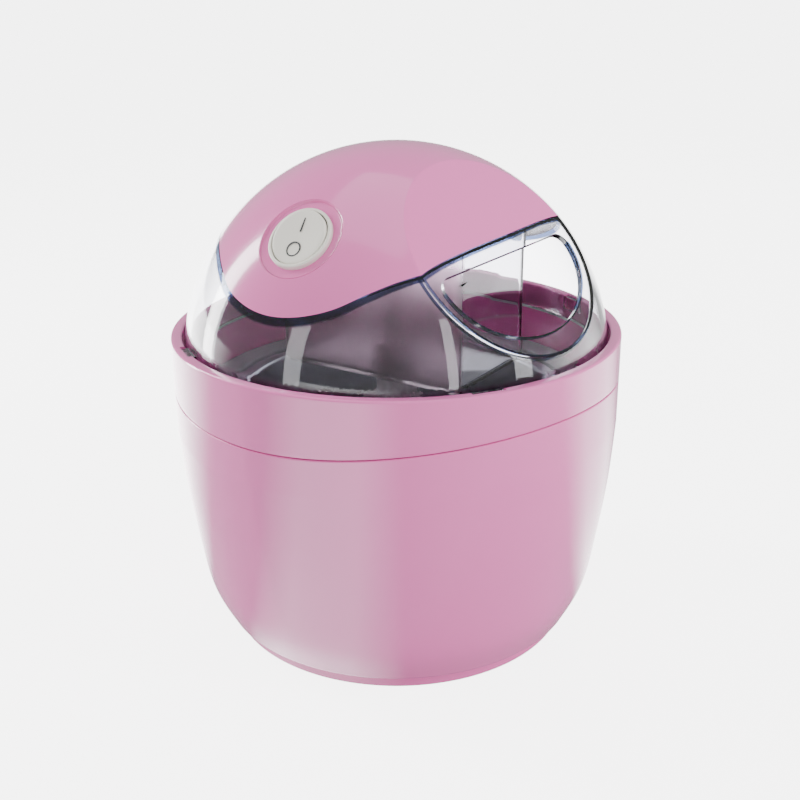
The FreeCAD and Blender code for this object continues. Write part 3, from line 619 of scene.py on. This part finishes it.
def makeBowlLiner():
    size = linerSize
    bead = 1.6
    wall, corner, floor = size["wall"], size["corner"], size["floor"]
    profile = [(0, floor)] + [(42.0 * i / 4, floor) for i in range(1, 4)]
    profile += arc(size["footR"] - corner, floor + corner, corner, -90, 0, 12)
    profile += [(size["rimR"] - 0.2, size["rim"] - 2.4)]
    profile += arc(size["rimR"] + bead, size["rim"] - bead, bead, 175, 20, 12)
    profile += [(64.0, size["rim"] - 0.9), (67.4, size["rim"] - 0.9), (68.0, size["rim"] - 1.4),
                (67.4, size["rim"] - 2.0), (size["rimR"] + wall, size["rim"] - 2.2)]
    profile += arc(size["footR"] - corner, floor + corner, corner + wall, 0, -90, 12)
    profile += [(0, floor - wall)]
    dress(smooth(turned("bowlLiner", profile)), "freezer_bowl", "bowl_aluminium", "bowl_liner")


def makeFreezerShell():
    profile = [(0, 12.0)] + arc(56.0, 22.0, 10.0, -90, -4, 10)
    profile += [(71.0, 93.1), (78.6, 93.1)] + arc(78.4, 94.9, 0.8, -20, 90, 6)
    profile += [(70.4, 95.7)] + arc(69.2, 95.0, 0.7, 90, 180, 5)
    profile += [(68.4, 92.4), (67.0, 91.9), (64.6, 91.9), (64.4, 90.1), (68.8, 89.6), (63.8, 23.0)]
    profile += arc(55.4, 22.6, 8.2, -4, -90, 10)[1:] + [(0, 14.4)]
    dress(smooth(turned("freezerShell", profile)), "freezer_bowl", "bowl_plastic", "freezer_shell")


makeBowlLiner()
makeFreezerShell()
print("freezer bowl made")


# lid
lidSize = {"wall": 2.2, "skirtFoot": 112.2, "deck": 2.0, "hubHole": 8.6, "tabWidth": 11.0,
           "tabReach": (81.0, 84.2), "tabDrop": (6.0, 0.6)}


def fillingOpening():
    # a half ellipse under a straight edge with rounded ends, through the facet
    half, depth, corner = opening["half"], opening["depth"], opening["corner"]
    points = [(half * math.cos(t), depth * math.sin(t))
              for t in (math.pi * (1 + i / 48) for i in range(49))]
    points += arc(half - corner, 0.5 - corner + 4.1, corner, 0, 90, 8)
    points += arc(corner - half, 0.5 - corner + 4.1, corner, 90, 180, 8)
    turn = math.radians(opening["turn"])
    placed = [(x * math.cos(turn) - y * math.sin(turn) + opening["x"],
               x * math.sin(turn) + y * math.cos(turn) + opening["y"], facet["distance"] - 15)
              for x, y in points]
    return ontoFacet(prism("fillingOpening", placed, (0, 0, 30)))


def makeLid():
    size = lidSize
    x, front, rear = well["x"], well["front"], well["rear"]
    wall, bottom = well["wall"], well["bottom"]
    piece = flattenFrom(facetedBall("clearLid", 0.0), rimZ, rimZ - bottom)
    carve(piece, underParting("parting", 0.0), "INTERSECT")
    hollow = flattenFrom(facetedBall("hollow", size["wall"]), rimZ, 26.0)
    carve(hollow, underParting("parting", -size["deck"]), "INTERSECT")
    carve(hollow, roundedBox("well", (-x, x), (front, rear), (bottom, 190), 3.0))
    carve(piece, hollow)
    room = roundedBox("room", (wall - x, x - wall), (front + wall, rear - wall),
                      (bottom + wall, 190), 1.6)
    carve(piece, room)
    skirt = turned("skirt", [(62, 95), (95, 95), (95, size["skirtFoot"]), (62, size["skirtFoot"])], 96)
    carve(piece, skirt)
    carve(piece, cut("hubHole", size["hubHole"], 100, 115))
    carve(piece, fillingOpening())
    for turn in tabTurns:
        side = size["tabWidth"] / 2
        low, high = [rimZ - drop for drop in size["tabDrop"]]
        tab = roundedBox("tab", size["tabReach"], (-side, side), (low, high))
        tab.rotation_euler.z = math.radians(turn)
        carve(piece, settle(tab), "UNION")
    dress(smooth(piece), "lid_unit", "clear_plastic", "lid")


makeLid()
print("lid made")


# motor unit
coverSize = {"wall": 2.4, "gap": 0.3, "recessR": 15.5, "recessFloor": 80.2, "holeR": 11.6,
             "nozzleR": 6.4, "nozzleEnd": 66.5, "nozzleZ": 160.5, "bore": 4.2}


def makeMotorCover():
    size = coverSize
    piece = facetedBall("motorCover", 0.0)
    nozzle = cut("nozzle", size["nozzleR"], -5, 10.5)
    nozzle.rotation_euler.x = math.radians(-90)
    nozzle.location = (0, 56.0 * mm, size["nozzleZ"] * mm)
    carve(piece, settle(nozzle), "UNION")
    carve(piece, underParting("parting", size["gap"]))
    inside = facetedBall("inside", size["wall"])
    pad = ontoSwitch(cut("pad", size["recessR"] + 2.5, size["recessFloor"] - 2.4, 90))
    carve(inside, pad)
    carve(piece, inside)
    floor, recess = size["recessFloor"], size["recessR"]
    lip = 0.7
    edgeZ = math.sqrt(domeR ** 2 - (recess + lip) ** 2)
    profile = [(0, floor)] + arc(recess - 0.5, floor + 0.5, 0.5, -90, 0, 4)
    profile += arc(recess + lip, edgeZ - lip * 1.15, lip, 180, 100, 6) + [(recess + lip, 90), (0, 90)]
    carve(piece, ontoSwitch(turned("recess", profile, 128)))
    carve(piece, ontoSwitch(cut("switchHole", size["holeR"], 70, 90)))
    for radius, low, high in ((size["bore"], 40, 90), (5.4, 50, 58.6), (8.0, size["nozzleEnd"], 90)):
        tool = cut("bore", radius, low, high)
        tool.rotation_euler.x = math.radians(-90)
        tool.location = (0, 0, size["nozzleZ"] * mm)
        carve(piece, settle(tool))
    dress(smooth(piece), "motor_unit", "pink_plastic", "motor_cover")


switchSize = {"bezelR": 12.0, "bezelT": 1.9, "rockerR": 10.45, "pivot": 80.9, "rest": 7.0,
              "barrel": 77.8, "dish": 0.35, "axleR": 0.62, "axleReach": 11.2, "stroke": 0.5}


def makeBezel():
    size = switchSize
    floor, top = coverSize["recessFloor"], coverSize["recessFloor"] + size["bezelT"]
    bore, outer = size["rockerR"] + 0.3, size["bezelR"]
    profile = [(bore, size["barrel"]), (outer - 0.5, size["barrel"]), (outer - 0.5, floor),
               (outer, floor)]
    profile += arc(outer - 0.6, top - 0.6, 0.6, 0, 90, 6) + arc(bore + 0.35, top - 0.35, 0.35, 90, 180, 5)
    dress(smooth(ontoSwitch(turned("switchBezel", profile, 128))), "motor_unit", "cream_plastic",
          "switch_bezel")


def tilted(piece):
    # the rocker's rest tilt, about its pivot, before it is turned onto the dome
    pivot = Vector((0, 0, switchSize["pivot"] * mm))
    turn = Matrix.Rotation(math.radians(switchSize["rest"]), 4, "X")
    piece.matrix_world = Matrix.Translation(pivot) @ turn @ Matrix.Translation(-pivot)
    return ontoSwitch(settle(piece))


def makeRocker():
    size = switchSize
    low, top, radius = size["pivot"] - 0.3, size["pivot"] + 1.7, size["rockerR"]
    dish = size["dish"]
    profile = [(0, low), (radius - 0.3, low), (radius, low + 0.3)]
    profile += arc(radius - 0.7, top - 0.7, 0.7, 0, 90, 7)
    profile += [(radius * t, top - dish * (1 - (t / 0.9) ** 2)) for t in (0.85, 0.7, 0.5, 0.3, 0.1, 0.0)]
    rocker = tilted(turned("rockerCap", profile, 128))
    dress(smooth(rocker), "rocker", "cream_plastic", "switch_rocker")
    axle = cut("rockerAxle", size["axleR"], -size["axleReach"], size["axleReach"], sides=32)
    axle.rotation_euler.y = math.radians(90)
    axle.location = (0, 0, size["pivot"] * mm)
    dress(smooth(tilted(settle(axle))), "rocker", "cream_plastic")
    stroke = size["stroke"]
    bar = roundedBox("onMark", (-stroke / 2, stroke / 2), (2.0, 7.2), (top - 0.6, top - 0.06), 0.12)
    dress(tilted(bar), "rocker", "black_plastic")
    ring = turned("offMark", [(2.3, top - 0.8), (2.3 + stroke, top - 0.8), (2.3 + stroke, top - 0.06),
                              (2.3, top - 0.06)], 64)
    ring.location = (0, -4.6 * mm, 0)
    dress(smooth(tilted(settle(ring))), "rocker", "black_plastic")


makeMotorCover()
makeBezel()
makeRocker()
print("motor unit made")


# camera, floor and light
def makeCamera():
    # distances in body radii from the middle of the rim
    place = Vector((2.6836, -3.9787, 1.4685)) * bodyR + Vector((0, 0, rimZ))
    ahead = Vector((-0.51962, 0.77536, -0.35890))
    level = Vector((0.83259, 0.55382, -0.00899))
    up = level.cross(ahead)
    camera = bpy.data.objects.new("camera", bpy.data.cameras.new("camera"))
    bpy.context.scene.collection.objects.link(camera)
    camera.data.lens = 50.0
    camera.data.sensor_width = 36.0
    turn = Matrix((level, up, -ahead)).transposed().to_4x4()
    camera.matrix_world = Matrix.Translation(place * mm) @ turn
    bpy.context.scene.camera = camera


glow = {"seen": 6.4, "floor": 8.0, "floorSeen": 0.65, "around": 0.55, "white": 0.5}


def seenDirectly(nodeTree):
    # 1 on a path from the camera that has met nothing but clear plastic
    bounced = nodeTree.node("ShaderNodeLightPath", output="Diffuse Depth")
    bounced = bounced + nodeTree.node("ShaderNodeLightPath", output="Glossy Depth")
    return 1.0 - bounced.maths("MINIMUM", bounced, 1.0)


def mirrored(finish):
    return finish.node("ShaderNodeLightPath", output="Is Glossy Ray")


panels = {"turn": 51, "bands": [(110, 37, 0.85), (-136, 23, 0.45), (0, 21, 0.45), (58, 15, 0.6)]}


def softPanels(finish):
    # bright sectors of the floor about the object, which its glossy wall shows as soft bands
    x, y = finish.parts(finish.place)[:2]
    a = math.radians(panels["turn"])
    across = y * math.cos(a) - x * math.sin(a)
    angle = across.maths("ARCTAN2", across, x * math.cos(a) + y * math.sin(a))
    total = None
    for middle, half, strength in panels["bands"]:
        aside = angle - math.radians(middle)
        size = aside.maths("ABSOLUTE", aside, 0.0)
        sector = finish.step(size, math.radians(half) * 1.35, math.radians(half) * 0.55) * strength
        total = sector if total is None else total + sector
    return total


def makeFloor():
    deselectAll()
    bpy.ops.mesh.primitive_circle_add(vertices=64, radius=14.0, fill_type="NGON")
    floor = bpy.context.object
    floor.name = "paleFloor"
    finish = Finish("paleFloor", Roughness=0.7, Emission_Strength=glow["floor"])
    white = glow["white"]
    finish.connect(Base_Color=finish.between(finish.noise(3.0), (white,) * 3, (white * 1.02,) * 3))
    lit = seenDirectly(finish) * glow["floorSeen"] + mirrored(finish) * softPanels(finish)
    finish.connect(Emission_Color=finish.between(lit, (0, 0, 0), (1, 1, 1)))
    floor.data.materials.append(finish.material)


lamps = {
    # azimuth round the object, height, distance, width, height of panel, power, mirrored
    "leftPanel": (-78, 0.34, 0.80, 0.16, 0.90, 11.0, True),
    "frontLeftPanel": (-20, 0.40, 1.30, 0.22, 0.80, 4.5, False),
    "rightPanel": (100, 0.36, 0.80, 0.16, 0.85, 8.0, False),
    "frontRightPanel": (62, 0.38, 1.10, 0.10, 0.80, 3.0, False),
    "backPanel": (200, 0.70, 1.10, 0.90, 0.50, 3.5, False),
}
topPanel = {"size": 1.2, "power": 6.0, "place": (-0.2, 0.1, 1.5)}


def hangLamp(name):
    lamp = bpy.data.objects.new(name, bpy.data.lights.new(name, "AREA"))
    bpy.context.scene.collection.objects.link(lamp)
    return lamp


def makeLights():
    for name, (azimuth, height, distance, width, tall, power, shown) in lamps.items():
        light = hangLamp(name)
        light.data.shape = "RECTANGLE"
        light.data.size = width
        light.data.size_y = tall
        light.data.energy = power
        light.visible_glossy = shown
        a = math.radians(azimuth)
        place = Vector((math.sin(a) * distance, -math.cos(a) * distance, height))
        aim = Vector((0, 0, 0.09)) - place
        turn = aim.to_track_quat("-Z", "Y").to_matrix().to_4x4()
        light.matrix_world = Matrix.Translation(place) @ turn
    top = hangLamp("topPanel")
    top.data.size = topPanel["size"]
    top.data.energy = topPanel["power"]
    top.location = topPanel["place"]


def makeWorld():
    world = bpy.data.worlds.new("studio")
    world.use_nodes = True
    studio = Nodes(world.node_tree)
    white = (1, 1, 1, 1)
    around = studio.node("ShaderNodeBackground", Color=white, Strength=glow["around"])
    seen = studio.node("ShaderNodeBackground", Color=white, Strength=glow["seen"])
    both = studio.node("ShaderNodeMixShader", entries={0: seenDirectly(studio), 1: around, 2: seen})
    studio.tree.links.new(both.socket, studio.tree.nodes["World Output"].inputs[0])
    bpy.context.scene.world = world


makeCamera()
makeFloor()
makeLights()
makeWorld()
print("camera and light made")
